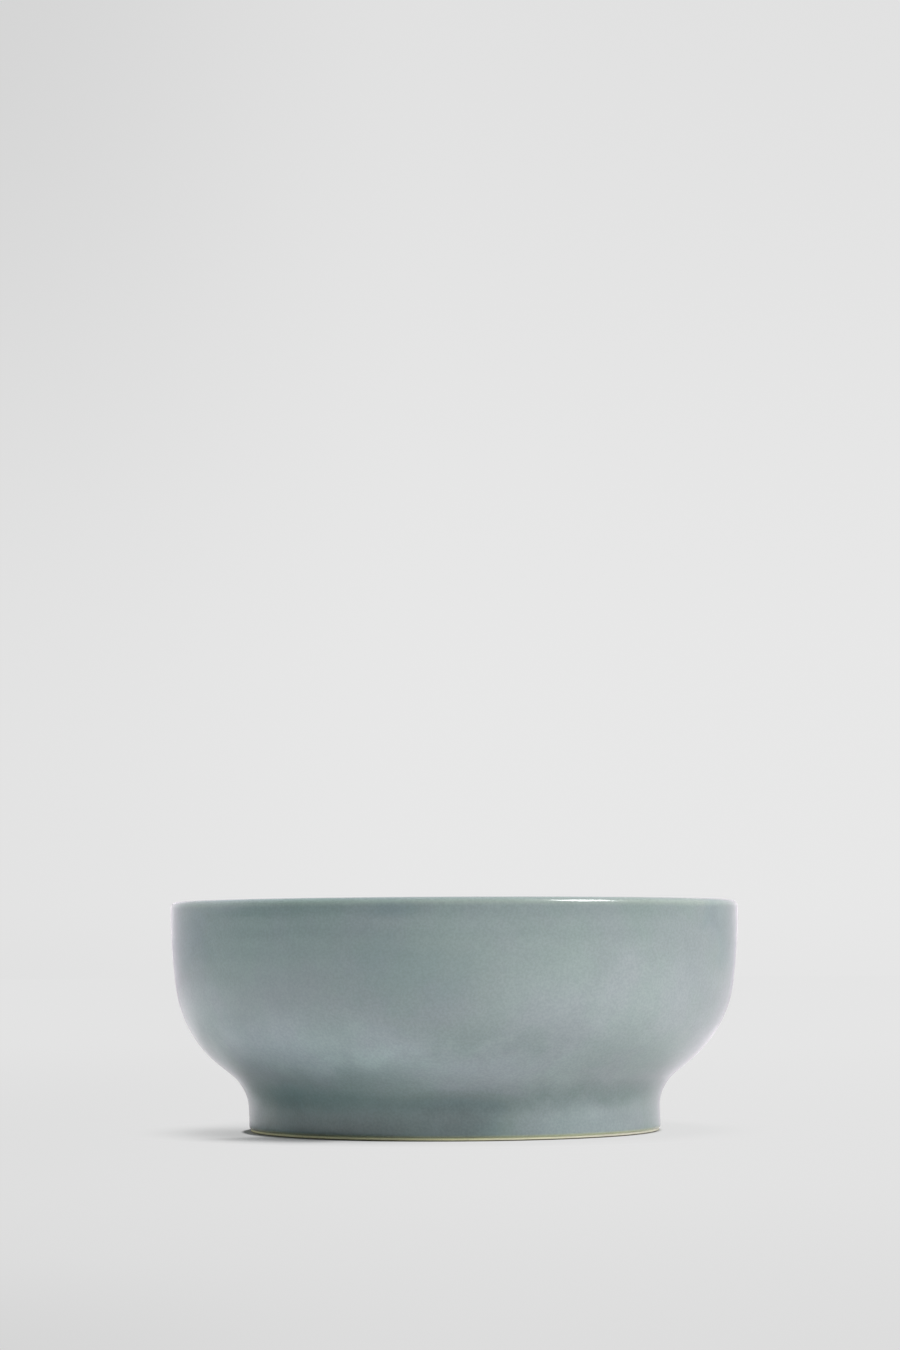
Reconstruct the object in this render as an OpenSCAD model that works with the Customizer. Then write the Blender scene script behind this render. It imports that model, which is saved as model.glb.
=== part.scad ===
// A wide drinking bowl in glazed stoneware, turned about +Z.
// The origin is the centre of the circle that the foot stands on.
// One fired clay body carries two glazes: a coat that runs from the inside floor,
// over the lip and down to the foot, and a disc inside the foot recess.

/* [Bowl] */
// Outer diameter at the rim
rim_d = 145; // [125:1:170]
// Height from the table to the top of the lip
bowl_h = 58.2; // [52:0.1:75]
// Thickness of the rounded lip, glaze included
lip_t = 3.2; // [2.4:0.1:4.2]
// Thickness of the wall round the belly, glaze included
wall_t = 4.2; // [3:0.1:6]
// Thickness of the floor at its centre, glaze included
floor_t = 4.8; // [3.6:0.1:7]

/* [Curves] */
// Radius of the belly, where the wall turns under
belly_r = 30.5; // [24:0.5:36]
// Angle from upright at which the wall runs into the belly
wall_lean = 8; // [3:0.5:11]
// Length of the straight slope between the belly and the hollow waist
slope_len = 4.6; // [2:0.2:10]
// Angle at which the dished floor runs into the inside of the belly
floor_dish = 3; // [1:0.5:6]

/* [Foot] */
// Outer diameter of the upright foot collar, glaze included
foot_d = 104.8; // [85:0.2:118]
// Height of the upright collar, from the table to the waist
collar_h = 5.7; // [3:0.1:9]
// Width of the foot ring, from the collar to its inner wall at the table
ring_w = 5.4; // [4:0.2:9]
// Angle from upright of the inner wall of the foot ring
ring_draft = 12; // [4:1:20]
// Height of the recess inside the foot ring, from the table to its glazed ceiling
recess_h = 8.8; // [6:0.1:11]
// Radius of both edges of the standing face
foot_edge_r = 0.35; // [0.2:0.05:0.5]
// Radius between the wall and the ceiling of the foot recess
recess_r = 3; // [1.5:0.5:5]

/* [Glaze] */
// Thickness of the glaze
glaze_t = 0.4; // [0.2:0.05:0.6]
// Height above the table at which the glaze ends on the outside of the foot
glaze_stop = 0.75; // [0.6:0.05:1.5]
// Height over which the glaze thins to nothing above its end
glaze_end = 0.7; // [0.4:0.1:1]
// Height above the table at which the glaze inside the foot stops
under_stop = 1.5; // [1.2:0.1:2.5]

/* [Hidden] */
clay_colour = "#dfd9c1";
glaze_colour = "#8a9c9d";
turn_facets = 180;
// Largest depth of a flat between two neighbouring points of a curved outline
bend_sag = 0.01;
// Flats in the rounded end of the glaze
taper_flats = 5;

rim_r = rim_d / 2;
foot_r = foot_d / 2;
lip_r = lip_t / 2;
lip_z = bowl_h - lip_r;
lip_c = [rim_r - lip_r, lip_z];

// The belly has one centre for its outside and its inside, so it keeps one thickness. The
// wall arc, upright at the lip, runs into its outside, and the dished floor into its inside.
// Arcs that touch have their centres on one line through that point. So the widest points of
// wall and belly lie half_lean apart for each unit between their centres' heights, and the
// lowest points of floor and belly half_dish apart for each unit between their centres'
// radii. The two together give the belly's centre.
half_lean = tan(wall_lean / 2);
half_dish = tan(floor_dish / 2);
inner_r = belly_r - wall_t;
floor_z = recess_h + floor_t;
belly_z = (floor_z + inner_r + half_dish * (rim_r - belly_r - lip_z * half_lean)) / (1 - half_dish * half_lean);
belly_c = [rim_r - belly_r - (lip_z - belly_z) * half_lean, belly_z];
wall_r = (lip_z - belly_z) / sin(wall_lean) + belly_r;
wall_c = [rim_r - wall_r, lip_z];

// Below the belly a straight slope touches the belly's circle and the waist's. The waist
// ends upright at the collar, and its radius is the one that leaves the slope its length.
overhang = foot_r - belly_c.x;
waist_drop = belly_z - collar_h;
waist_r = (waist_drop ^ 2 + overhang ^ 2 - belly_r ^ 2 - slope_len ^ 2) / (2 * (belly_r - overhang));
waist_c = [foot_r + waist_r, collar_h];
slope = atan2(waist_drop, overhang + waist_r) - atan2(slope_len, belly_r + waist_r);

// The inner wall arc starts upright at the lip and leans just enough to meet the belly.
inner_lean = 2 * atan((rim_r - lip_t - belly_c.x - inner_r) / (lip_z - belly_z));
inner_wall_r = (lip_z - belly_z) / sin(inner_lean) + inner_r;
inner_wall_c = [rim_r - lip_t - inner_wall_r, lip_z];
floor_r = belly_c.x / sin(floor_dish) + inner_r;
floor_c = [0, floor_z + floor_r];

// The foot recess has a drafted wall, a round corner and a flat ceiling.
recess_c_z = recess_h - recess_r;
recess_c = [ring_wall(glaze_t, recess_c_z) - (recess_r + glaze_t) / cos(ring_draft), recess_c_z];

// Both edges of the standing face are round. The glaze ends a little above the outer one,
// which leaves a narrow upright band of clay bare round the foot.
outer_edge_c = [foot_r - glaze_t - foot_edge_r, foot_edge_r];
inner_edge_c = [ring_wall(glaze_t, foot_edge_r) + foot_edge_r / cos(ring_draft), foot_edge_r];

// Points of an arc about c, close enough together for its radius. Its first point is left
// out when the outline already has it.
function bend(c, r, from, to, skip = 1) =
    let (steps = ceil(abs(to - from) / (2 * acos(1 - bend_sag / r))))
    let (turn = (to - from) / steps)
    [for (i = [skip:steps]) c + r * [cos(from + turn * i), sin(from + turn * i)]];

function reversed(points) = [for (i = [len(points) - 1:-1:0]) points[i]];

// Radius of the foot ring's inner wall at height z, for a surface depth below the glaze
function ring_wall(depth, z) = foot_r - ring_w - (glaze_t - depth) / cos(ring_draft) - z * tan(ring_draft);

// The bowl's surface at a depth below the glaze, from the centre of the inside floor,
// up the wall, over the lip and down to the collar. The glaze lies between depth 0 and
// glaze_t, and the clay starts at glaze_t, so the two meet on the same points.
function bowl_path(depth) = concat(
    bend(floor_c, floor_r + depth, -90, floor_dish - 90, 0),
    bend(belly_c, inner_r + depth, floor_dish - 90, -inner_lean),
    bend(inner_wall_c, inner_wall_r + depth, -inner_lean, 0),
    bend(lip_c, lip_r - depth, 180, 90),
    bend(lip_c, lip_r - depth, 90, 0),
    bend(wall_c, wall_r - depth, 0, -wall_lean),
    bend(belly_c, belly_r - depth, -wall_lean, -slope),
    bend(waist_c, waist_r + depth, 180 - slope, 180, 0)
);

// The recess's surface at a depth below its glaze, from the centre of its ceiling to a height on its wall
function recess_path(depth, stop) = concat(
    [[0, recess_h + depth]],
    bend(recess_c, recess_r + depth, 90, ring_draft, 0),
    [[ring_wall(depth, stop), stop]]
);

// The end of the glaze on the collar, thinning to nothing in a rounded edge
function glaze_taper() = [
    for (i = [0:taper_flats])
        let (quarter = 90 * i / taper_flats)
        [foot_r - glaze_t + glaze_t * cos(quarter), glaze_stop + glaze_end * (1 - sin(quarter))]
];

// The bare clay round the standing face, from the end of the glaze to the recess
function foot_path() = concat(
    [[foot_r - glaze_t, glaze_stop]],
    bend(outer_edge_c, foot_edge_r, 0, -90, 0),
    bend(inner_edge_c, foot_edge_r, 270, 180 + ring_draft, 0)
);

module turned(outline) {
    rotate_extrude($fn = turn_facets)
        polygon(outline);
}

// The fired clay: bowl, belly, waist and foot ring in one piece, bare only where it stands
module clay_body() {
    color(clay_colour)
        turned(concat(bowl_path(glaze_t), foot_path(), reversed(recess_path(glaze_t, under_stop))));
}

// The coat of glaze on everything above the foot's bare band, inside and out
module glaze_coat() {
    color(glaze_colour)
        turned(concat(bowl_path(0), glaze_taper(), reversed(bowl_path(glaze_t))));
}

// The glaze inside the foot recess, up to the bare standing ring
module underside_glaze() {
    color(glaze_colour)
        turned(concat(recess_path(0, under_stop + glaze_t), reversed(recess_path(glaze_t, under_stop))));
}

clay_body();
glaze_coat();
underside_glaze();
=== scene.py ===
# %% [markdown]
# A latte bowl is one thrown and turned piece of clay with a coat of glaze on it.
# The packed model holds its true size and place. We load it first and keep its box, because
# everything that we make has to sit inside it.

# %% Load the packed bowl
import math

import bpy
import numpy as np
from mathutils import Euler, Matrix, Vector


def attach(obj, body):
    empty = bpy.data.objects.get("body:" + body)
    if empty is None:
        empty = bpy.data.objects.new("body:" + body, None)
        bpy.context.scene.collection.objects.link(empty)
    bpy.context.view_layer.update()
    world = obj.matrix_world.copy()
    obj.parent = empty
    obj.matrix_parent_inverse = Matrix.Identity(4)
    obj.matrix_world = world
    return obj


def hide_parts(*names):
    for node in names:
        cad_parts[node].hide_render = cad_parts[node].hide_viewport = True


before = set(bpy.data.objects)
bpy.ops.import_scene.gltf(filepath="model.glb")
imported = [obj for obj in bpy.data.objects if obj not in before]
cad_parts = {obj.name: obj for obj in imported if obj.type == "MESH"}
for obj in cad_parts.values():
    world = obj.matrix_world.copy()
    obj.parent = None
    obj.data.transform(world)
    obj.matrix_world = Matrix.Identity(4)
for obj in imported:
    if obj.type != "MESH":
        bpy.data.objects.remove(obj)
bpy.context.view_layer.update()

MM = 0.001

# %% [markdown]
# A potter judges a bowl by its outline. Ours has a rounded lip, a nearly upright wall, a
# belly, a short straight slope, a hollow waist and an upright collar on the foot. We give the
# sizes that the packed solids were drawn with, because a mesh cut into facets can't be
# measured back to its true arcs.

# %% Sizes of the bowl
RIM_R = 72.5 * MM
BOWL_H = 58.2 * MM
LIP_T = 3.2 * MM
WALL_T = 4.2 * MM
FLOOR_T = 4.8 * MM
BELLY_R = 30.5 * MM
SLOPE_LEN = 4.6 * MM
FOOT_R = 52.4 * MM
COLLAR_H = 5.7 * MM
RING_W = 5.4 * MM
RECESS_H = 8.8 * MM
RECESS_R = 3 * MM
FOOT_EDGE_R = 0.35 * MM
GLAZE_T = 0.4 * MM
GLAZE_STOP = 0.75 * MM
GLAZE_END = 0.7 * MM
UNDER_STOP = 1.5 * MM
WALL_LEAN = math.radians(8)
FLOOR_DISH = math.radians(3)
RING_DRAFT = math.radians(12)

print(f"the height is {BOWL_H / RIM_R / 2:.3f} and the foot {FOOT_R / RIM_R:.3f} of the rim's width")

# %% [markdown]
# Each stretch of the outline is an arc that leaves the one before it without a corner. Two
# touching arcs have their centres on one line, which is enough to work out every centre from
# the sizes above. A smooth join matters here: a glossy glaze shows a kink in a wall as a
# broken reflection, long before the eye could see it in the outline.

# %% Centres of the arcs
lip_r = LIP_T / 2
lip_z = BOWL_H - lip_r
lip_c = (RIM_R - lip_r, lip_z)
half_lean = math.tan(WALL_LEAN / 2)
half_dish = math.tan(FLOOR_DISH / 2)
inner_r = BELLY_R - WALL_T
floor_z = RECESS_H + FLOOR_T
belly_sum = floor_z + inner_r + half_dish * (RIM_R - BELLY_R - lip_z * half_lean)
belly_z = belly_sum / (1 - half_dish * half_lean)
belly_c = (RIM_R - BELLY_R - (lip_z - belly_z) * half_lean, belly_z)
wall_r = (lip_z - belly_z) / math.sin(WALL_LEAN) + BELLY_R
wall_c = (RIM_R - wall_r, lip_z)
overhang = FOOT_R - belly_c[0]
waist_drop = belly_z - COLLAR_H
waist_r = (waist_drop**2 + overhang**2 - BELLY_R**2 - SLOPE_LEN**2) / (2 * (BELLY_R - overhang))
waist_c = (FOOT_R + waist_r, COLLAR_H)
slope = math.atan2(waist_drop, overhang + waist_r) - math.atan2(SLOPE_LEN, BELLY_R + waist_r)
inner_lean = 2 * math.atan((RIM_R - LIP_T - belly_c[0] - inner_r) / (lip_z - belly_z))
inner_wall_r = (lip_z - belly_z) / math.sin(inner_lean) + inner_r
inner_wall_c = (RIM_R - LIP_T - inner_wall_r, lip_z)
floor_r = belly_c[0] / math.sin(FLOOR_DISH) + inner_r
floor_c = (0, floor_z + floor_r)
print(f"slope {math.degrees(slope):.1f} degrees from upright, waist radius {waist_r / MM:.2f} mm")

# %% [markdown]
# An arc becomes a list of points. Their spacing decides how smooth the turned surface is: a
# millimetre is plenty on the wall, but the lip and the edge of the foot are so tight that
# they need points a few times closer. Where glaze hides the clay, fewer points will do.

# %% Points along an arc
WALL_STEP = 1.1 * MM
EDGE_STEP = 0.16 * MM
WAIST_SHARE = 0.7
HIDDEN_SPREAD = 3
UP, LEVEL = math.pi / 2, 0


def arc(centre, radius, start, stop, step=WALL_STEP, skip=1):
    """Points on an arc about a centre. Its first point is left out unless skip is 0."""
    count = max(2, math.ceil(abs(stop - start) * radius / step))
    turn = start + (stop - start) * np.arange(skip, count + 1) / count
    return np.column_stack([centre[0] + radius * np.cos(turn), centre[1] + radius * np.sin(turn)])


def bowl_path(depth, spread=1):
    """The bowl's surface at a depth below the glaze, from the inside floor over the lip to the collar."""
    wide, tight = WALL_STEP * spread, EDGE_STEP * spread
    return np.vstack([
        arc(floor_c, floor_r + depth, -UP, FLOOR_DISH - UP, wide, skip=0),
        arc(belly_c, inner_r + depth, FLOOR_DISH - UP, -inner_lean, wide),
        arc(inner_wall_c, inner_wall_r + depth, -inner_lean, LEVEL, wide),
        arc(lip_c, lip_r - depth, math.pi, UP, tight),
        arc(lip_c, lip_r - depth, UP, LEVEL, tight),
        arc(wall_c, wall_r - depth, LEVEL, -WALL_LEAN, wide),
        arc(belly_c, BELLY_R - depth, -WALL_LEAN, -slope, wide),
        arc(waist_c, waist_r + depth, math.pi - slope, math.pi, wide * WAIST_SHARE, skip=0),
    ])


print("points on the glaze:", len(bowl_path(0)))

# %% [markdown]
# The foot is where the potter wiped the glaze off, so that the bowl didn't fuse to the kiln
# shelf. The clay ring has two round edges. The glaze thins to nothing a little above the
# outer edge and leaves a narrow band of clay bare. Inside the ring it stops higher up.

# %% Points round the foot
CLAY_R = FOOT_R - GLAZE_T
TAPER_POINTS = 8
FLAT_STEP = WALL_STEP * 2
COLLAR_STEP = WALL_STEP / 2
CORNER_STEP = WALL_STEP / 3


def ring_wall(depth, z):
    """Radius of the ring's inner wall at height z, at a depth below its glaze."""
    return FOOT_R - RING_W - (GLAZE_T - depth) / math.cos(RING_DRAFT) - z * math.tan(RING_DRAFT)


outer_edge_c = (CLAY_R - FOOT_EDGE_R, FOOT_EDGE_R)
inner_edge_c = (ring_wall(GLAZE_T, FOOT_EDGE_R) + FOOT_EDGE_R / math.cos(RING_DRAFT), FOOT_EDGE_R)
recess_c_z = RECESS_H - RECESS_R
recess_c = (ring_wall(GLAZE_T, recess_c_z) - (RECESS_R + GLAZE_T) / math.cos(RING_DRAFT), recess_c_z)


def line(start, stop, step=WALL_STEP):
    """Points from start to stop, without start itself."""
    start, stop = np.array(start), np.array(stop)
    count = max(1, math.ceil(np.linalg.norm(stop - start) / step))
    return start + (stop - start) * (np.arange(1, count + 1) / count)[:, None]


def recess_path(depth, stop):
    """The recess's surface at a depth below its glaze, from the middle of its ceiling to a height."""
    ceiling = (0, RECESS_H + depth)
    corner = arc(recess_c, RECESS_R + depth, UP, RING_DRAFT, CORNER_STEP, skip=0)
    return np.vstack([[ceiling], line(ceiling, corner[0], FLAT_STEP), corner[1:],
                      line(corner[-1], (ring_wall(depth, stop), stop), COLLAR_STEP)])


def glaze_taper():
    """The end of the glaze on the collar, thinning to nothing in a rounded edge."""
    quarter = UP * np.arange(1, TAPER_POINTS + 1) / TAPER_POINTS
    height = GLAZE_STOP + GLAZE_END * (1 - np.sin(quarter))
    return np.column_stack([CLAY_R + GLAZE_T * np.cos(quarter), height])


collar = line((FOOT_R, COLLAR_H), (FOOT_R, GLAZE_STOP + GLAZE_END), COLLAR_STEP)
clay_collar = line((CLAY_R, COLLAR_H), (CLAY_R, GLAZE_STOP), COLLAR_STEP)
print(f"bare ring stands on radii {outer_edge_c[0] / MM:.1f} to {inner_edge_c[0] / MM:.1f} mm")

# %% [markdown]
# Nothing made by hand is a perfect solid of revolution. This bowl sagged by half a
# millimetre to one side low in its belly, and its rim is a hair out of round. The potter's
# fingers left faint rings that wander a little up and down. We bend the space around the
# bowl instead of each piece, so clay and glaze move together and stay in contact. The
# standing face stays flat, or the bowl would rock.

# %% The hand and the kiln
SAG, SAG_Z, SAG_SPREAD = 0.6 * MM, 16.7 * MM, 11 * MM
OVAL, OVAL_TURN = 0.12 * MM, 0.8
RING_WAVE, RING_PITCH = 0.02 * MM, 5.2 * MM
WANDER, WANDER_TURN, WANDER_FINE = 0.35, 1.1, 0.2
SETTLE_Z = 6 * MM


def worked_by_hand(points):
    """Moves points a little, the same way for every piece."""
    x, y, z = points.T
    around = np.arctan2(y, x)
    radius = np.hypot(x, y)
    height = z / BOWL_H
    settled = np.clip(z / SETTLE_Z, 0, 1)
    settled = settled * settled * (3 - 2 * settled)
    lean = -SAG * np.exp(-(((z - SAG_Z) / SAG_SPREAD) ** 2)) * settled
    oval = OVAL * np.cos(2 * around + OVAL_TURN) * height
    wander = WANDER * np.sin(around + WANDER_TURN)
    wander = wander + WANDER_FINE * np.sin(3 * around + 2 * math.pi * height)
    throwing = RING_WAVE * np.sin(2 * math.pi * z / RING_PITCH + wander)
    grow = 1 + settled * (oval + throwing) / RIM_R
    return np.column_stack([x * grow + lean * radius / RIM_R, y * grow, z])


print(f"the belly leans {SAG / MM:.1f} mm to the left, most at {SAG_Z / MM:.1f} mm above the table")

# %% [markdown]
# A potter's wheel turns an outline into a bowl, and so do we: the outline is repeated round
# the axis, and neighbouring copies are joined by faces. An outline that starts and ends on
# the axis gives a closed skin with one point at each pole. Corners sharper than a limit stay
# crisp, and everything else is shaded smooth.

# %% The wheel
AROUND = 360
CRISP = math.radians(42)


def throw(name, outline, around=AROUND):
    """A closed mesh object, turned from an outline of (radius, height) that starts and ends on the axis."""
    angles = 2 * math.pi * np.arange(around) / around
    middle = np.asarray(outline)[1:-1]
    radius, z = middle[:, :1], middle[:, 1:]
    rings = np.stack([radius * np.cos(angles), radius * np.sin(angles), z + 0 * angles], axis=-1)
    poles = [[0, 0, outline[0][1]], [0, 0, outline[-1][1]]]
    points = worked_by_hand(np.vstack([rings.reshape(-1, 3), poles]))
    ring = np.arange(len(middle) - 1)[:, None] * around
    here = np.arange(around)
    after = (here + 1) % around
    quads = np.stack([ring + here, ring + after, ring + around + after, ring + around + here], axis=-1)
    first, last = len(points) - 2, len(points) - 1
    end = (len(middle) - 1) * around
    faces = quads.reshape(-1, 4).tolist()
    faces += [[first, b, a] for a, b in zip(here.tolist(), after.tolist())]
    faces += [[end + a, end + b, last] for a, b in zip(here.tolist(), after.tolist())]
    mesh = bpy.data.meshes.new(name)
    mesh.from_pydata(points.tolist(), [], faces)
    mesh.shade_smooth()
    mesh.set_sharp_from_angle(angle=CRISP)
    piece = bpy.data.objects.new(name, mesh)
    bpy.context.scene.collection.objects.link(piece)
    triangles = sum(len(p.vertices) - 2 for p in mesh.polygons)
    print(f"{name}: {len(middle)} rings, {triangles} triangles")
    return piece


print(f"the wheel makes {AROUND} stops in one turn")

# %% [markdown]
# The clay body is the bowl itself. Most of it is hidden under glaze, so only its foot ring
# gets close rings of points. On the real foot a turning tool leaves fine grooves, which we
# cut into the standing ring as a shallow wave that fades out at both of its edges.

# %% Clay body
GROOVE, GROOVE_PITCH, GROOVE_FADE = 0.035 * MM, 0.55 * MM, 0.5
TURN_STEP = EDGE_STEP / 2

band = line((CLAY_R, GLAZE_STOP), (CLAY_R, FOOT_EDGE_R), EDGE_STEP)
outer_turn = np.vstack([band, arc(outer_edge_c, FOOT_EDGE_R, LEVEL, -UP, TURN_STEP)])
standing = line(outer_turn[-1], (inner_edge_c[0], 0), EDGE_STEP)
inner_turn = arc(inner_edge_c, FOOT_EDGE_R, -UP, -math.pi + RING_DRAFT, TURN_STEP)
bare_ring = np.vstack([outer_turn, standing, inner_turn])
ring_share = np.sin(math.pi * np.arange(len(standing)) / (len(standing) - 1)) ** GROOVE_FADE
turns = (standing[:, 0] - standing[-1, 0]) / GROOVE_PITCH
groove = GROOVE * ring_share * (1 - np.cos(2 * math.pi * turns)) / 2
bare_ring[len(outer_turn):len(outer_turn) + len(standing), 1] += groove
clay_recess = recess_path(GLAZE_T, UNDER_STOP)[::-1]
clay_outline = np.vstack([bowl_path(GLAZE_T, HIDDEN_SPREAD), clay_collar, bare_ring, clay_recess])
clay = throw("bare_clay_bowl", clay_outline)

# %% [markdown]
# The glaze is a glass skin less than half a millimetre thick. It is its own closed piece:
# its outer side runs from the inside floor over the lip and down to its rounded end on the
# foot, and its back lies on the clay. The second glaze sits inside the foot ring.

# %% Glaze skins
coat_back = np.vstack([bowl_path(GLAZE_T, HIDDEN_SPREAD), clay_collar[:-1]])[::-1]
coat_outline = np.vstack([bowl_path(0), collar, glaze_taper(), coat_back])
coat = throw("glaze_skin", coat_outline)
under_outline = np.vstack([recess_path(0, UNDER_STOP + GLAZE_T), recess_path(GLAZE_T, UNDER_STOP)[::-1]])
under = throw("recess_glaze", under_outline)

# %% [markdown]
# Each piece is tied to the body it moves with, and the packed node that it stands for is
# hidden. The bowl has no joints, so there is one body, the root.

# %% Tie the pieces to the packed bowl
for piece, node, finish in ((clay, "clay_body", "bare_clay"), (coat, "glaze_coat", "glaze"),
                            (under, "underside_glaze", "glaze")):
    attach(piece, "root")
    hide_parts(node)
    print(piece.name, "stands for", node)

# %% [markdown]
# Materials are small graphs of nodes, and so is the background of the room. Writing them out
# by hand is long, so one helper makes a node, sets its numbers and joins its inputs.

# %% A helper for nodes


class Nodes:
    """A node tree that is filled one call at a time."""

    def __init__(self, tree):
        self.tree = tree
        self.tree.nodes.clear()

    def add(self, kind, settings=(), **inputs):
        """A new node with its settings and inputs. An underscore stands for a space in an input's name."""
        node = self.tree.nodes.new(kind)
        for name, value in dict(settings).items():
            setattr(node, name, value)
        for name, value in inputs.items():
            self.feed(node.inputs[name.replace("_", " ")], value)
        return node

    def feed(self, socket, value):
        """Joins a socket to another one, or writes a number or a colour on it."""
        if isinstance(value, bpy.types.NodeSocket):
            self.tree.links.new(value, socket)
        else:
            socket.default_value = value


print("nodes have:", ", ".join(word for word in vars(Nodes) if word[0] != "_"))

# %% [markdown]
# Most of what we ask of a graph is arithmetic: a sum, a product, or the larger of two
# numbers. A smooth ramp does the rest. It turns a height or a distance into a share, and
# because it starts and ends softly, it leaves no hard line in the glaze.

# %% Numbers and places in a graph


class Numbers(Nodes):
    """Nodes that work out one number from others."""

    def ramp(self, value, span, start=0, stop=1):
        """Goes smoothly from start to stop, as value goes from one end of the span to the other."""
        node = self.add("ShaderNodeMapRange", {"interpolation_type": "SMOOTHSTEP"}, Value=value)
        for name, number in zip(("From Min", "From Max", "To Min", "To Max"), (*span, start, stop)):
            node.inputs[name].default_value = number
        return node.outputs["Result"]

    def work_out(self, how, *values):
        """One number from two, by a math operation."""
        node = self.add("ShaderNodeMath", {"operation": how})
        for socket, value in zip(node.inputs, values):
            self.feed(socket, value)
        return node.outputs[0]

    def plus(self, a, b):
        return self.work_out("ADD", a, b)

    def minus(self, a, b):
        return self.work_out("SUBTRACT", a, b)

    def times(self, a, b):
        return self.work_out("MULTIPLY", a, b)

    def larger(self, a, b):
        return self.work_out("MAXIMUM", a, b)

    def vector(self, how, *vectors):
        """What a vector operation gives, as Value for a number and as Vector for a direction."""
        node = self.add("ShaderNodeVectorMath", {"operation": how})
        for socket, value in zip(node.inputs, vectors):
            self.feed(socket, value)
        return node.outputs


print("numbers can be worked out by:", ", ".join(word for word in vars(Numbers) if word[0] != "_"))

# %% [markdown]
# A whole graph also blends colours and shaders. It starts from the place that it reads and
# ends in the node that shows its result, so we make those two first. The node that blends
# colours has its colour sockets after those for numbers and vectors, at places 6 and 7.

# %% Colours and shaders in a graph
COLOUR_A, COLOUR_B, COLOUR_OUT = 6, 7, 2
SHADER_A, SHADER_B = 1, 2


class Graph(Numbers):
    """A graph from the place that it reads to its ending."""

    def __init__(self, tree, ending, place):
        super().__init__(tree)
        self.ending = self.add(ending)
        self.where = self.add("ShaderNodeTexCoord").outputs[place]

    def parts(self):
        """The x, y and z of the place."""
        return self.add("ShaderNodeSeparateXYZ", Vector=self.where).outputs

    def blend(self, share, a, b, how="MIX"):
        """One colour from two, with a share of the second."""
        node = self.add("ShaderNodeMix", {"data_type": "RGBA", "blend_type": how})
        self.feed(node.inputs["Factor"], share)
        for socket, colour in ((node.inputs[COLOUR_A], a), (node.inputs[COLOUR_B], b)):
            self.feed(socket, colour if isinstance(colour, bpy.types.NodeSocket) else (*colour, 1))
        return node.outputs[COLOUR_OUT]

    def tint(self, colour, by):
        """A colour multiplied by another."""
        return self.blend(1.0, colour, by, "MULTIPLY")

    def mix(self, share, a, b):
        """One shader from two, with a share of the second."""
        node = self.add("ShaderNodeMixShader", Fac=share)
        self.feed(node.inputs[SHADER_A], a.outputs[0])
        self.feed(node.inputs[SHADER_B], b.outputs[0])
        return node

    def show(self, shader):
        """Makes a shader the one that is seen."""
        self.feed(self.ending.inputs["Surface"], shader.outputs[0])


print("a graph can also:", ", ".join(word for word in vars(Graph) if word[0] != "_"))

# %% [markdown]
# A finish is a graph that belongs to a material. Every texture of the bowl reads the
# object's own coordinates in metres, so a grain of half a millimetre stays half a
# millimetre. A noise seldom reaches its darkest and lightest values, so we stretch its
# middle range when we want to know how light and how dark a mottling gets.

# %% A finish for a piece
NOISE_MIDDLE = (0.3, 0.7)


class Finish(Graph):
    """A material that reads the place on the object."""

    def __init__(self, name):
        self.material = bpy.data.materials.new(name)
        self.material.use_nodes = True
        super().__init__(self.material.node_tree, "ShaderNodeOutputMaterial", "Object")

    def noise(self, size, detail=2, rough=0.5):
        """A noise from 0 to 1 with features of about that size in metres."""
        shape = {"Scale": 1 / size, "Detail": detail, "Roughness": rough}
        return self.add("ShaderNodeTexNoise", Vector=self.where, **shape).outputs["Fac"]

    def mottle(self, size, low, high, rough=0.5):
        """A noise of that size, stretched to go from low to high."""
        return self.ramp(self.noise(size, rough=rough), NOISE_MIDDLE, low, high)


print("a finish has:", ", ".join(word for word in vars(Finish) if word[0] != "_"))

# %% [markdown]
# The glaze is a grey-green celadon. It is a glass with fine bubbles and a little iron, so it
# is soft in colour and glossy on top. Two shades of it lie in slow patches. Its thickness
# changes the colour most: it is thin and pale on the lip, and pools darker in the waist. The
# edge of the pool sways a little up and down, so we add a slow noise to the height first.

# %% Thickness of the glaze
WHITE = (1, 1, 1)
CELADON, CELADON_BLUE = (0.236, 0.307, 0.305), (0.246, 0.302, 0.316)
CELADON_THIN, CELADON_POOL = (0.335, 0.410, 0.385), (0.176, 0.250, 0.246)
PATCHES, PATCH_ROUGH, PATCH_SPAN = 16 * MM, 0.55, (0.36, 0.66)
SWAY_SIZE, SWAY = 9 * MM, 4 * MM
POOL_Z, POOL_SHARE = (16.7 * MM, 10.7 * MM), 0.5
THIN_Z, THIN_SHARE = (BOWL_H - 2.3 * MM, BOWL_H - 1.1 * MM), 0.75
LIP_Z, LIP_SHARE = (BOWL_H - 0.9 * MM, BOWL_H - 0.3 * MM), 0.3


def glaze_by_thickness(glaze, height, level):
    """The glaze in two shades, darker where it pools and paler where it is thin."""
    patches = glaze.ramp(glaze.noise(PATCHES, 3, PATCH_ROUGH), PATCH_SPAN)
    colour = glaze.blend(patches, CELADON, CELADON_BLUE)
    colour = glaze.blend(glaze.ramp(level, POOL_Z, 0, POOL_SHARE), colour, CELADON_POOL)
    thin = glaze.ramp(height, THIN_Z, 0, THIN_SHARE)
    thin = glaze.times(thin, glaze.ramp(height, LIP_Z, 1, LIP_SHARE))
    return glaze.blend(thin, colour, CELADON_THIN)


print(f"the glaze pools below {POOL_Z[0] / MM:.1f} mm and thins above {THIN_Z[0] / MM:.1f} mm")
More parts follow.
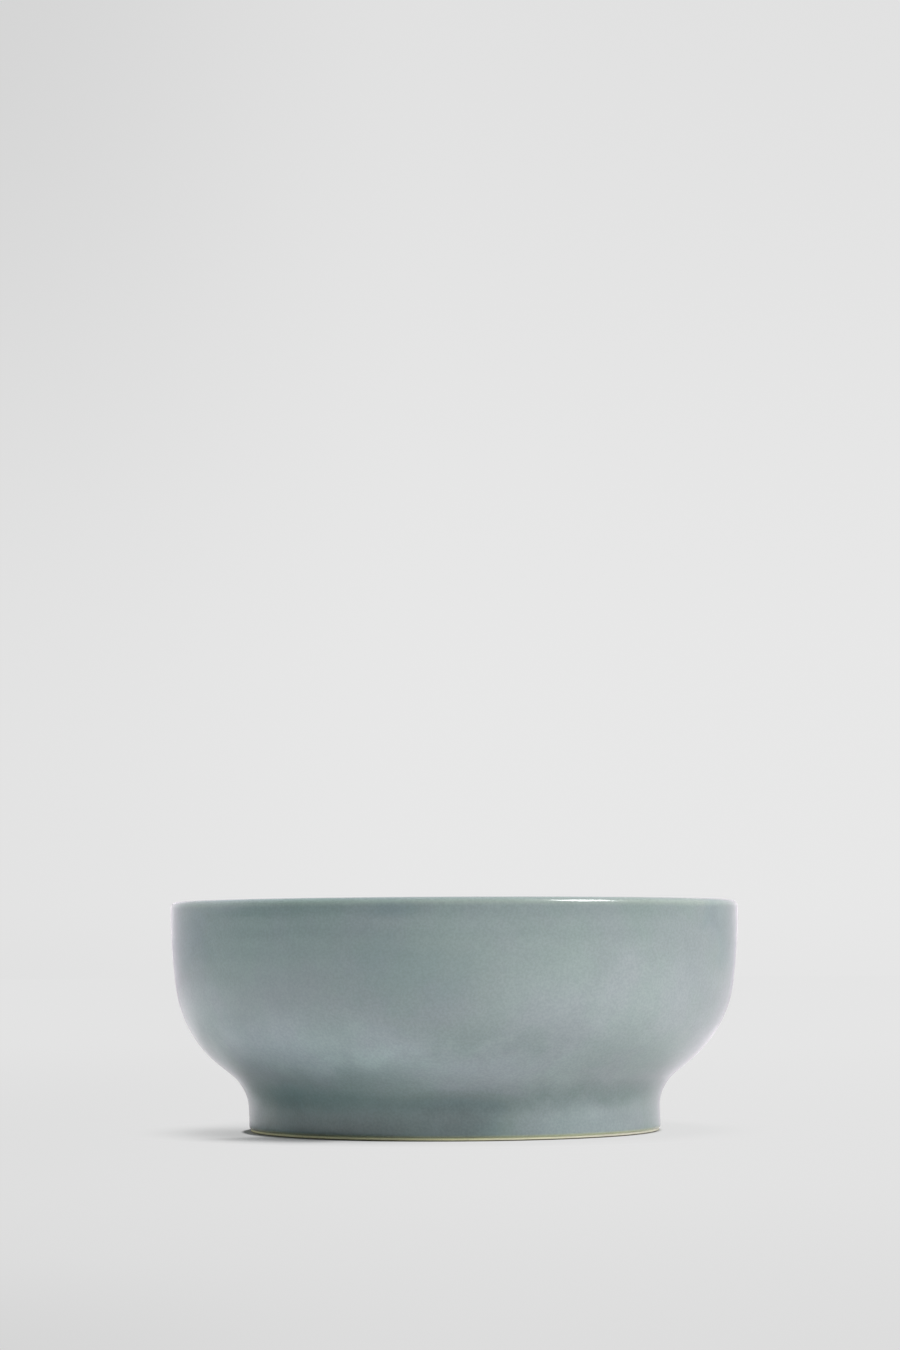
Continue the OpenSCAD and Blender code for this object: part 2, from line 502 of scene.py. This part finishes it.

# %% [markdown]
# The clouds are painted light and shade on the glaze. The pale ones paint the lilac
# reflection of the table on the belly and light on the right front, down to the foot, and
# the dark ones paint shade low on the front left above the foot and along the edges of the
# wall. Each cloud has a place on the bowl and a reach along x, y and z, both in millimetres,
# and a share by which it lightens the glaze, or darkens it if the share is below zero. Most
# lie on the wall, the belly and the waist, and two thin ones follow the lip. A slow noise
# frays their edges. We could paint such clouds in an image, but a list of places has no seam
# and stays sharp from close by.

# %% Painted light and shade in the glaze
# Painted light and shade: pale clouds paint reflection and light, dark clouds paint shade.
PAINTED_LIGHT_CLOUDS = (
    ((-38, -52, 23.2), (40, 40, 9), 0.21),
    ((4, -58, 16.7), (42, 32, 8), 0.21),
    ((27, -64, 34.7), (26, 30, 13), 0.08),
    ((44, -48, 20), (38, 38, 14), 0.10),
    ((48, -46, 36), (28, 30, 11), 0.08),
    ((-61, -30, 31), (18, 26, 10), 0.15),
    ((-70, -10, 31), (14, 22, 8), 0.13),
    ((14, -62, 20), (14, 16, 6), 0.08),
    ((32, -42, 2.7), (26, 26, 8), 0.28),
    ((-10, -71, 40), (24, 24, 15), -0.09),
    ((-18, -47, 4), (36, 32, 11), -0.13),
    ((-30, -42, 3), (28, 30, 5), -0.13),
    ((3, -52, 4), (12, 20, 6), -0.20),
    ((2, -53, 8.5), (13, 12, 4), -0.12),
    ((-39, -36, 11), (10, 12, 5), -0.13),
    ((-50, -16, 7), (8, 14, 6), 0.15),
    ((69, -21, 55), (15, 24, 17), -0.22),
    ((-66, -20, 50), (14, 30, 13), -0.15),
    ((-54, -46, 57.5), (20, 22, 2.8), 0.15),
    ((-13, -71, 55.5), (10, 12, 3.5), -0.09),
    ((40, 52, 24.7), (40, 40, 10), 0.15),
    ((-62, 18, 30.7), (30, 34, 9), 0.12),
)
CLOUD_SPAN = (1.15, 0.15)
FRAY_SIZE, FRAY_ROUGH, FRAY_SPAN, FRAY = 11 * MM, 0.6, (0.25, 0.75), 0.22


def painted_light_and_shade(glaze):
    """How light the glaze is painted at a point, as a factor that is one where no cloud of painted light or
    shade reaches.
    """
    fray = glaze.ramp(glaze.noise(FRAY_SIZE, 3, FRAY_ROUGH), FRAY_SPAN, -FRAY, FRAY)
    lift = 1.0
    for place, reach, share in PAINTED_LIGHT_CLOUDS:
        offset = glaze.vector("SUBTRACT", glaze.where, [v * MM for v in place])["Vector"]
        reached = glaze.vector("DIVIDE", offset, [v * MM for v in reach])["Vector"]
        away = glaze.vector("LENGTH", reached)["Value"]
        lift = glaze.plus(lift, glaze.ramp(glaze.plus(away, fray), CLOUD_SPAN, 0, share))
    return lift


print(f"{len(PAINTED_LIGHT_CLOUDS)} clouds, {sum(share > 0 for _, _, share in PAINTED_LIGHT_CLOUDS)} of them pale")

# %% [markdown]
# A band round the belly is a painted reflection of the bright table, stronger on the left.
# The left side, away from the key light, is painted cooler and darker as shade, the right
# side warmer as light, and the far left is a touch greener outside the band. The band and
# the pale clouds lean to lilac as painted reflection, and the dark clouds to teal as painted
# shade. Each of these is a gentle factor on the colour.

# %% Painted reflection band and painted side tints
# Painted reflection: a lilac band on the belly where the glaze mirrors the table.
REFLECTION_BAND_Z, REFLECTION_BAND_LOW_Z, REFLECTION_BAND_SHARE = (50 * MM, 34 * MM), (10 * MM, 18 * MM), 0.68
# Painted side tints: cooler, darker shade on the left and warmer light on the right.
KEY_SIDE_X, SHADE_SIDE_TINT, LIT_SIDE_TINT = (-60 * MM, 60 * MM), (0.935, 0.970, 0.962), (1.040, 1.000, 0.965)
FAR_X, FAR_SIDE, FAR_REFLECTION_BAND = (-5 * MM, -40 * MM), (0.965, 1.0, 0.995), 1.3
# Lilac tints painted reflection, and teal tints painted shade.
REFLECTION_LILAC, LILAC_LIFT = (1.035, 0.980, 1.020), (1.0, 1.15)
SHADE_TEAL, TEAL_LIFT = (0.940, 1.000, 1.030), (1.0, 0.86)


def painted_reflection_band(glaze, level, across):
    """The painted reflection band, from 0 on the rim and the foot to its most on the left of the belly."""
    # Painted reflection of the table, stronger on the left.
    reflection_band = glaze.ramp(level, REFLECTION_BAND_Z, 0, REFLECTION_BAND_SHARE)
    reflection_band = glaze.times(reflection_band, glaze.ramp(level, REFLECTION_BAND_LOW_Z))
    return glaze.times(reflection_band, glaze.ramp(across, FAR_X, 1, FAR_REFLECTION_BAND))


def painted_side_tints(glaze, colour, across, reflection_band):
    """The colour with painted shade, cooler and darker, on the left side, painted light, warmer, on the
    right, and the far left greener outside the band.
    """
    # Painted shade on the left side, away from the key light, and painted light on the right.
    colour = glaze.tint(colour, glaze.blend(glaze.ramp(across, KEY_SIDE_X), SHADE_SIDE_TINT, LIT_SIDE_TINT))
    far = glaze.times(glaze.ramp(across, FAR_X), glaze.ramp(reflection_band, (0, 1), 1, 0))
    return glaze.tint(colour, glaze.blend(far, WHITE, FAR_SIDE))


def reflection_lilac_and_shade_teal(glaze, colour, lift, reflection_band):
    """The colour with lilac as painted reflection where it is pale or in the band, and teal as painted shade
    where it is dark.
    """
    # Lilac is painted reflection colour, and teal painted shade colour.
    lilac = glaze.larger(reflection_band, glaze.ramp(lift, LILAC_LIFT))
    tint = glaze.blend(lilac, WHITE, REFLECTION_LILAC)
    tint = glaze.blend(glaze.ramp(lift, TEAL_LIFT), tint, SHADE_TEAL)
    return glaze.tint(colour, tint)


# The heights printed here bound the painted reflection band at its fullest.
print(f"the glaze is milkiest between {REFLECTION_BAND_LOW_Z[1] / MM:.0f} and {REFLECTION_BAND_Z[1] / MM:.0f} mm")

# %% [markdown]
# Close up, a fine grain of bubbles covers the glaze, and its surface has the faint ripple of
# orange peel, with some places glossier than others. Light that meets the bubbles at a
# glancing angle comes back milky. A little sheen does that, and gives the bowl its soft
# lilac edges.

# %% Grain and gloss of the glaze
GRAIN, GRAIN_ROUGH, GRAIN_DARK, GRAIN_LIGHT = 0.6 * MM, 0.6, 0.94, 1.06
SPECKS, SPECK_DARK, SPECK_LIGHT = 5 * MM, 0.985, 1.015
RIPPLE, PEEL, PEEL_SHARE, RIPPLE_DEPTH = 1.6 * MM, 7 * MM, 2.0, 0.01 * MM
GLOSS_SIZE, GLOSS, DULL = 3 * MM, 0.13, 0.19
SHEEN, SHEEN_ROUGH, SHEEN_TINT = 0.48, 0.22, (1.0, 0.90, 1.0, 1)
GLASS_IOR = 1.6


def grained(glaze, colour, lift):
    """The colour, lighter and darker by the grain, the specks and the painted light and shade of the clouds.
    """
    grain = glaze.mottle(GRAIN, GRAIN_DARK, GRAIN_LIGHT, GRAIN_ROUGH)
    shade = glaze.times(glaze.times(grain, glaze.mottle(SPECKS, SPECK_DARK, SPECK_LIGHT)), lift)
    grey = glaze.add("ShaderNodeCombineColor", Red=shade, Green=shade, Blue=shade)
    return glaze.tint(colour, grey.outputs[0])


def glassy(glaze, colour):
    """A glossy shader in that colour, with ripples and a milky sheen."""
    ripple = glaze.plus(glaze.noise(RIPPLE), glaze.times(glaze.noise(PEEL, 1), PEEL_SHARE))
    skin = glaze.add("ShaderNodeBump", Height=ripple, Strength=1.0, Distance=RIPPLE_DEPTH)
    gloss = glaze.mottle(GLOSS_SIZE, GLOSS, DULL)
    shader = glaze.add("ShaderNodeBsdfPrincipled", Base_Color=colour, Roughness=gloss, Normal=skin.outputs[0])
    shader.inputs["IOR"].default_value = GLASS_IOR
    shader.inputs["Sheen Weight"].default_value = SHEEN
    shader.inputs["Sheen Roughness"].default_value = SHEEN_ROUGH
    shader.inputs["Sheen Tint"].default_value = SHEEN_TINT
    return shader


print(f"ripples {RIPPLE / MM:.1f} and {PEEL / MM:.0f} mm wide, grain {GRAIN / MM:.1f} mm")

# %% [markdown]
# Now the layers go on in this order: the thickness of the glaze, the painted side tints of
# light and shade, the lilac and teal of painted reflection and shade, then the painted light
# and shade of the clouds and the grain. Where the glaze ends it is so thin that the clay
# shines through, and it shows yellow. The two glazed pieces end at their own heights, so each
# gets its own material from the same recipe.

# %% Glaze finish
CELADON_EDGE, EDGE_SHARE, EDGE_H = (0.400, 0.420, 0.250), 0.9, 0.9 * MM


def glaze_finish(name, stop):
    """Glaze that ends at height stop and turns thin above it."""
    glaze = Finish(name)
    place = glaze.parts()
    across, height = place["X"], place["Z"]
    level = glaze.plus(height, glaze.times(glaze.noise(SWAY_SIZE), SWAY))
    # The band, the clouds, the side tints and the lilac and teal are painted light and shade.
    reflection_band = painted_reflection_band(glaze, level, across)
    lift = painted_light_and_shade(glaze)
    colour = glaze_by_thickness(glaze, height, level)
    colour = painted_side_tints(glaze, colour, across, reflection_band)
    colour = reflection_lilac_and_shade_teal(glaze, colour, lift, reflection_band)
    ending = glaze.ramp(height, (stop, stop + EDGE_H), EDGE_SHARE, 0)
    colour = glaze.blend(ending, colour, CELADON_EDGE)
    glaze.show(glassy(glaze, grained(glaze, colour, lift)))
    print(name, "has", len(glaze.tree.nodes), "nodes")
    return glaze.material


coat.data.materials.append(glaze_finish("celadon_glaze", GLAZE_STOP))
under.data.materials.append(glaze_finish("celadon_recess_glaze", UNDER_STOP + GLAZE_T))

# %% [markdown]
# Bare stoneware is matt and sandy. The ring that stands on the table is pale cream. Its
# narrow outer band took a yellow flush from the glaze above it. On the right, the side of
# the key light, the band is painted greyer and darker as shade. A fine dark line on its
# lowest edge is a painted contact shadow.

# %% Bare clay finish
CLAY, FLUSH = (0.88, 0.86, 0.70), (0.96, 0.95, 0.62)
BAND_R = (CLAY_R - 0.35 * MM, CLAY_R - 0.15 * MM)
CLAY_SAND, SAND, SAND_ROUGH, SAND_SPAN, SAND_SHARE = (0.78, 0.75, 0.58), 0.35 * MM, 0.65, (0.5, 0.72), 0.6
# Painted shade on the right side of the band, toward the key light.
CLAY_KEY_SIDE_SHADE, KEY_SIDE_SHADE_X, KEY_SIDE_SHADE_SHARE = (0.65, 0.63, 0.54), (10 * MM, 55 * MM), 0.9
SIDE_SHADE_WAVE, SIDE_SHADE_SWAY = 6 * MM, 30 * MM
# Painted contact shadow on the lowest edge of the outer band.
CLAY_CONTACT_SHADOW, CONTACT_SHADOW_Z, CONTACT_SHADOW_SHARE = (0.09, 0.075, 0.055), (0.34 * MM, 0.20 * MM), 0.9
GRIT, GRIT_ROUGH, GRIT_DEPTH, GRIT_STRENGTH = 0.3 * MM, 0.7, 0.04 * MM, 0.6
MATT, CLAY_GLOSS = 0.85, 0.3


def clay_finish(name):
    """Sandy clay, with a flushed outer band, painted shade on the side of the key light and a painted contact
    shadow on its lowest edge.
    """
    fired = Finish(name)
    place = fired.parts()
    outer = fired.ramp(fired.vector("LENGTH", fired.where)["Value"], BAND_R)
    colour = fired.blend(outer, CLAY, FLUSH)
    sand = fired.ramp(fired.noise(SAND, 3, SAND_ROUGH), SAND_SPAN, 0, SAND_SHARE)
    colour = fired.blend(sand, colour, CLAY_SAND)
    # Painted shade: the right side of the band, toward the key light, is darker and greyer.
    side_shade_edge = fired.plus(place["X"], fired.times(fired.noise(SIDE_SHADE_WAVE), SIDE_SHADE_SWAY))
    colour = fired.blend(fired.ramp(side_shade_edge, KEY_SIDE_SHADE_X, 0, KEY_SIDE_SHADE_SHARE), colour, CLAY_KEY_SIDE_SHADE)
    # Painted contact shadow: a fine dark line on the lowest edge of the outer band.
    low = fired.ramp(place["Z"], CONTACT_SHADOW_Z, 0, CONTACT_SHADOW_SHARE)
    colour = fired.blend(fired.times(outer, low), colour, CLAY_CONTACT_SHADOW)
    grit = fired.noise(GRIT, 3, GRIT_ROUGH)
    bump = fired.add("ShaderNodeBump", Height=grit, Strength=GRIT_STRENGTH, Distance=GRIT_DEPTH)
    shader = fired.add("ShaderNodeBsdfPrincipled", Base_Color=colour, Normal=bump.outputs[0])
    shader.inputs["Roughness"].default_value = MATT
    shader.inputs["Specular IOR Level"].default_value = CLAY_GLOSS
    fired.show(shader)
    print(name, "has", len(fired.tree.nodes), "nodes")
    return fired.material


clay.data.materials.append(clay_finish("fired_clay"))

# %% [markdown]
# The bowl stands on a pale matt table. What the table throws back on the bowl is its own lit
# surface with the bowl's shadow on it. The camera sees a picture of it with softened
# shadows, and further out a plain tone that joins the background. That tone is a little
# darker towards the front and the left, and most of all in the front left corner, as it is
# in the photograph. Behind the camera it is even again.

# %% Tone of the table
GLOW_NEAR, GLOW_FAR, GLOW_Y = 0.764, 0.785, (0.90, -0.25)
GLOW_FRONT, FRONT_Y = 0.055, (-0.16, -0.62)
DIM_FRONT, DIM_FAR, DIM_Y, DIM_X = 0.034, 0.016, (-0.30, 1.00), (0.03, -0.13)
DIM_CORNER, DIM_CORNER_Y, DIM_CORNER_X = 0.045, (-0.34, -0.50), (0, -0.065)
BEHIND_CAMERA_Y = (-1.3, -0.6)


def table_tone(look, place):
    """The tone that the camera sees on the table, away from the bowl."""
    near = look.ramp(place["Y"], GLOW_Y, 0, GLOW_FAR - GLOW_NEAR)
    front = look.ramp(place["Y"], FRONT_Y, 0, GLOW_FRONT)
    dim = look.ramp(place["Y"], DIM_Y, DIM_FRONT, DIM_FAR)
    left = look.times(look.ramp(place["X"], DIM_X), dim)
    corner = look.ramp(place["Y"], DIM_CORNER_Y, 0, DIM_CORNER)
    corner = look.times(look.ramp(place["X"], DIM_CORNER_X), corner)
    darker = look.plus(look.plus(near, front), look.plus(left, corner))
    darker = look.times(darker, look.ramp(place["Y"], BEHIND_CAMERA_Y))
    return look.minus(GLOW_FAR, darker)


print(f"the table's plain tone goes from {GLOW_FAR} far away to {GLOW_NEAR - GLOW_FRONT:.3f} in front")

# %% [markdown]
# Near the foot the camera sees part of the real shadow. It is kept most on the front left,
# away from the key light, where a narrow core of it is deeper still. Under the foot the
# whole of the real table shows, so the bowl stands on it with a thin dark line, which
# reaches a little further out on the shadow's side.

# %% Shadow that the camera sees
SHADOW_R = (56 * MM, 84 * MM)
SHADOW_WAY, SHADOW_SPAN, SHADOW_LIGHT, SHADOW_DEEP = (-0.85, -0.53, 0), (0.5, 1.0), 0.12, 0.42
CORE_WAY, CORE_SPAN, SHADOW_CORE = (-0.71, -0.71, 0), (0.955, 1.0), 0.38
GAP_R, GAP_SPAN, GAP_WIDER = (51.9 * MM, 53.1 * MM), (0.55, 0.95), 1.8 * MM


def toward(look, away, way):
    """One straight along a way from the bowl's axis, and less to either side of it."""
    along = look.vector("DOT_PRODUCT", look.where, way)["Value"]
    return look.work_out("DIVIDE", along, away)


def softened(look, away):
    """How much of the plain tone the camera sees, from none under the foot to all of it."""
    side = toward(look, away, SHADOW_WAY)
    deep = look.ramp(side, SHADOW_SPAN, SHADOW_LIGHT, SHADOW_DEEP)
    deep = look.plus(deep, look.ramp(toward(look, away, CORE_WAY), CORE_SPAN, 0, SHADOW_CORE))
    kept = look.minus(1.0, look.times(deep, look.ramp(away, SHADOW_R, 1, 0)))
    gap = look.minus(away, look.ramp(side, GAP_SPAN, 0, GAP_WIDER))
    return look.times(kept, look.ramp(gap, GAP_R))


print(f"the shadow fades out {SHADOW_R[1] / MM:.0f} mm from the axis")

# %% [markdown]
# The glaze mirrors the real lit table near by. Far away that fades into the plain tone, so
# no edge of the table shows in the glaze. Behind the bowl it mirrors more of the plain tone
# too, which keeps the edge of the belly soft. All of this is only what is seen: the light
# on the bowl comes from the matt table as it is.

# %% Floor
TABLE_SIZE = 12
TABLE_COLOUR, TABLE_SHOWN = 3 * (0.95,), 3 * (0.60,)
MIRROR_TINT = (1.12, 1.06, 1.14)
FADE_R = (0.25, 0.80)
BEHIND_X, BEHIND_LEFT, BEHIND_RIGHT = (-40 * MM, 60 * MM), 0.35, 0.75
BEHIND_Y = (-30 * MM, 60 * MM)


def faded(look, place, away):
    """How much of the plain tone the glaze mirrors: all of it far away, and more behind the bowl."""
    behind = look.ramp(place["X"], BEHIND_X, BEHIND_LEFT, BEHIND_RIGHT)
    behind = look.times(behind, look.ramp(place["Y"], BEHIND_Y))
    return look.larger(look.ramp(away, FADE_R), behind)


def table_finish(name):
    """A matt table for light, with a plain tone over it for the camera and the glaze."""
    look = Finish(name)
    seen = look.add("ShaderNodeLightPath").outputs
    place = look.parts()
    away = look.vector("LENGTH", look.where)["Value"]
    cloth = look.blend(seen["Is Camera Ray"], TABLE_COLOUR, TABLE_SHOWN)
    matt = look.add("ShaderNodeBsdfDiffuse", Color=cloth)
    tint = look.blend(seen["Is Glossy Ray"], WHITE, MIRROR_TINT)
    plain = look.add("ShaderNodeEmission", Color=tint, Strength=table_tone(look, place))
    shown = look.times(softened(look, away), seen["Is Camera Ray"])
    through = look.larger(seen["Is Glossy Ray"], seen["Is Transmission Ray"])
    mirrored = look.times(faded(look, place, away), through)
    look.show(look.mix(look.plus(shown, mirrored), matt, plain))
    look.material.cycles.emission_sampling = "NONE"
    return look.material


half = TABLE_SIZE / 2
corners = [(-half, -half, 0), (half, -half, 0), (half, half, 0), (-half, half, 0)]
table_mesh = bpy.data.meshes.new("table")
table_mesh.from_pydata(corners, [], [(0, 1, 2, 3)])
table_mesh.materials.append(table_finish("pale_table"))
table = bpy.data.objects.new("table", table_mesh)
bpy.context.scene.collection.objects.link(table)
print(f"table {TABLE_SIZE} m wide")

# %% [markdown]
# The room is made of directions instead of walls. For light on the bowl it is a soft even
# glow. The camera sees a pale backdrop, a touch darker high up, near the table and on the
# left. A glossy glaze mirrors more than the camera sees: the bright backdrop, brightest
# straight behind the bowl, where its edges mirror it at a glancing angle, and a dark room
# behind the camera.

# %% Background
ROOM_LIGHT, ROOM_TINT = (0.12, 0.12, 0.12), (1, 0.95, 1)
BACKDROP, BACKDROP_TOP, TALL_Z = 0.803, 0.752, (0.07, 0.33)
BACKDROP_LOW, LOW_Z = 0.790, (0.02, -0.01)
CORNER_LOW, CORNER_TOP, CORNER_Z, CORNER_X = 0.036, 0.095, (0.05, 0.30), (0.0, -0.16)
ROOM_FRONT, ROOM_BACK, ROOM_Y = 0.15, 0.90, (-0.2, 0.7)
ROOM_EDGE, ROOM_EDGE_Y = 0.20, (0.85, 0.98)


def backdrop(look, way):
    """The tone that the camera sees in each direction."""
    tall = look.ramp(way["Z"], TALL_Z, BACKDROP, BACKDROP_TOP)
    low = look.ramp(way["Z"], LOW_Z, 0, BACKDROP - BACKDROP_LOW)
    corner = look.ramp(way["Z"], CORNER_Z, CORNER_LOW, CORNER_TOP)
    corner = look.times(look.ramp(way["X"], CORNER_X), corner)
    return look.minus(look.minus(tall, low), corner)


def mirrored_room(look, way):
    """The tone that the glaze mirrors from each direction."""
    facing = look.ramp(way["Y"], ROOM_Y, ROOM_FRONT, ROOM_BACK)
    return look.plus(facing, look.ramp(way["Y"], ROOM_EDGE_Y, 0, ROOM_EDGE))


world = bpy.data.worlds.new("room")
bpy.context.scene.world = world
world.use_nodes = True
room = Graph(world.node_tree, "ShaderNodeOutputWorld", "Generated")
way = room.parts()
seen = room.add("ShaderNodeLightPath").outputs
lit = room.add("ShaderNodeBackground", Color=(*ROOM_LIGHT, 1), Strength=1)
shown = room.add("ShaderNodeBackground", Color=(*WHITE, 1), Strength=backdrop(room, way))
mirrored = room.add("ShaderNodeBackground", Color=(*ROOM_TINT, 1), Strength=mirrored_room(room, way))
through = room.larger(seen["Is Camera Ray"], seen["Is Transmission Ray"])
room.show(room.mix(through, room.mix(seen["Is Glossy Ray"], lit, mirrored), shown))
print(f"room light {ROOM_LIGHT[0]}, backdrop {BACKDROP_TOP} to {BACKDROP}")

# %% [markdown]
# A soft box high on the right gives the bowl its form and the bright streak on the lip. A
# second one hangs overhead and a third high on the left. They mostly light the white table,
# and the table throws their light back up under the belly. The lip shows one streak only, so
# just the first box is mirrored in the glaze.

# %% Lights
KEY_TURN, KEY_RISE, KEY_AWAY = math.radians(60), math.radians(40), 1.5
KEY_SIZE, KEY_LEVEL = (0.55, 0.58), 16.8
TOP_PLACE, TOP_SIZE, TOP_LEVEL = (0, 0.15, 1.25), (0.60, 0.90), 6.3
LEFT_PLACE, LEFT_SIZE, LEFT_LEVEL = (-0.70, 0.10, 1.10), (0.60, 0.60), 2.8
MIDDLE = Vector((0, 0, BOWL_H / 2))


def soft_box(name, place, size, level, mirrored=False):
    """A rectangular lamp that faces the bowl and looks about as bright as level."""
    lamp = bpy.data.lights.new(name, "AREA")
    lamp.shape = "RECTANGLE"
    lamp.size, lamp.size_y = size
    lamp.energy = level * math.pi * size[0] * size[1]
    box = bpy.data.objects.new(name, lamp)
    box.location = place
    box.rotation_euler = (MIDDLE - Vector(place)).to_track_quat("-Z", "Y").to_euler()
    box.visible_camera = False
    box.visible_glossy = mirrored
    bpy.context.scene.collection.objects.link(box)
    print(f"{name}: {lamp.energy:.1f} W")


level_part = math.cos(KEY_RISE)
key_way = Vector((math.sin(KEY_TURN) * level_part, -math.cos(KEY_TURN) * level_part, math.sin(KEY_RISE)))
soft_box("key_box", MIDDLE + key_way * KEY_AWAY, KEY_SIZE, KEY_LEVEL, mirrored=True)
soft_box("top_box", TOP_PLACE, TOP_SIZE, TOP_LEVEL)
soft_box("left_box", LEFT_PLACE, LEFT_SIZE, LEFT_LEVEL)

# %% [markdown]
# The camera stands at table height and looks up by a few degrees, with a long lens, so the
# far rim hides behind the near one and the bowl sits low in the tall picture. Its numbers
# are in the picture's own pixels, and the lens and the two small turns follow from them.

# %% Camera
PICTURE_W, PICTURE_H = 900, 1350
FOCAL_PX = 3261
HORIZON_ROW, AXIS_COLUMN = 956.3, 453.1
SENSOR = 36
CAMERA_AWAY, CAMERA_UP = 839.6 * MM, 44.2 * MM
ROLL = math.radians(0.25)

lens = bpy.data.cameras.new("camera")
lens.sensor_width = SENSOR
lens.lens = FOCAL_PX / PICTURE_H * SENSOR
pitch = math.atan2(HORIZON_ROW - PICTURE_H / 2, FOCAL_PX)
yaw = math.atan2(AXIS_COLUMN - PICTURE_W / 2, FOCAL_PX)
camera = bpy.data.objects.new("camera", lens)
camera.location = (0, -CAMERA_AWAY, CAMERA_UP)
turned = Euler((UP + pitch, 0, yaw)).to_matrix().to_4x4() @ Matrix.Rotation(-ROLL, 4, "Z")
camera.rotation_euler = turned.to_euler()
bpy.context.scene.collection.objects.link(camera)
bpy.context.scene.camera = camera
bpy.context.scene.view_settings.view_transform = "Standard"
print(f"lens {lens.lens:.2f} mm, pitch {math.degrees(pitch):.2f} degrees")

# %% [markdown]
